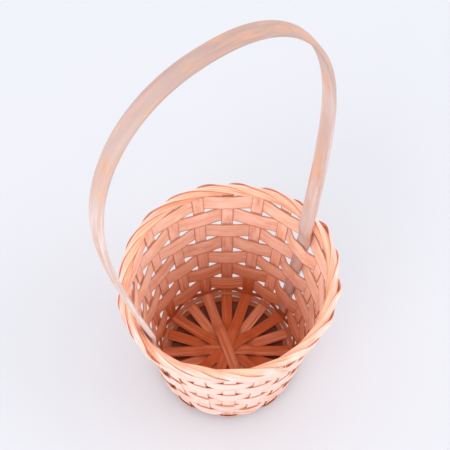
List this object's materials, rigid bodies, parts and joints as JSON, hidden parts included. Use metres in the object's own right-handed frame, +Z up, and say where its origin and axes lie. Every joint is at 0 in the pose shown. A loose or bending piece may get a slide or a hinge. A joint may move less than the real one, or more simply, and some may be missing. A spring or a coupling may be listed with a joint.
{
  "type": "easter basket",
  "caption": "Small round basket woven from flat bamboo splints, open at the top, with a folded border and a tall fixed arched handle.",
  "frame": {"origin": "on the resting surface, on the axis of the basket", "axes": "+Z up; the handle stands over the X axis, and leans a little towards +Y"},
  "size_m": [0.1536, 0.131, 0.315],
  "materials": {
    "strip_splint": "dyed split bamboo, matte",
    "weaver_splint": "dyed split bamboo, brushed with thin white on the outside",
    "ring_splint": "dyed split bamboo, matte",
    "handle_bamboo": "bent bamboo bar, brushed with thin white, matte"
  },
  "bodies": {
    "root": {"strip_00": "strip_splint", "strip_01": "strip_splint", "strip_02": "strip_splint", "strip_03": "strip_splint", "strip_04": "strip_splint", "strip_05": "strip_splint", "strip_06": "strip_splint", "strip_07": "strip_splint", "strip_08": "strip_splint", "strip_09": "strip_splint", "weaver_0": "weaver_splint", "weaver_1": "weaver_splint", "weaver_2": "weaver_splint", "weaver_3": "weaver_splint", "weaver_4": "weaver_splint", "weaver_5": "weaver_splint", "weaver_6": "weaver_splint", "corner_ring_upper": "ring_splint", "corner_ring_lower": "ring_splint", "foot_ring": "ring_splint", "handle": "handle_bamboo"}
  },
  "joints": []
}
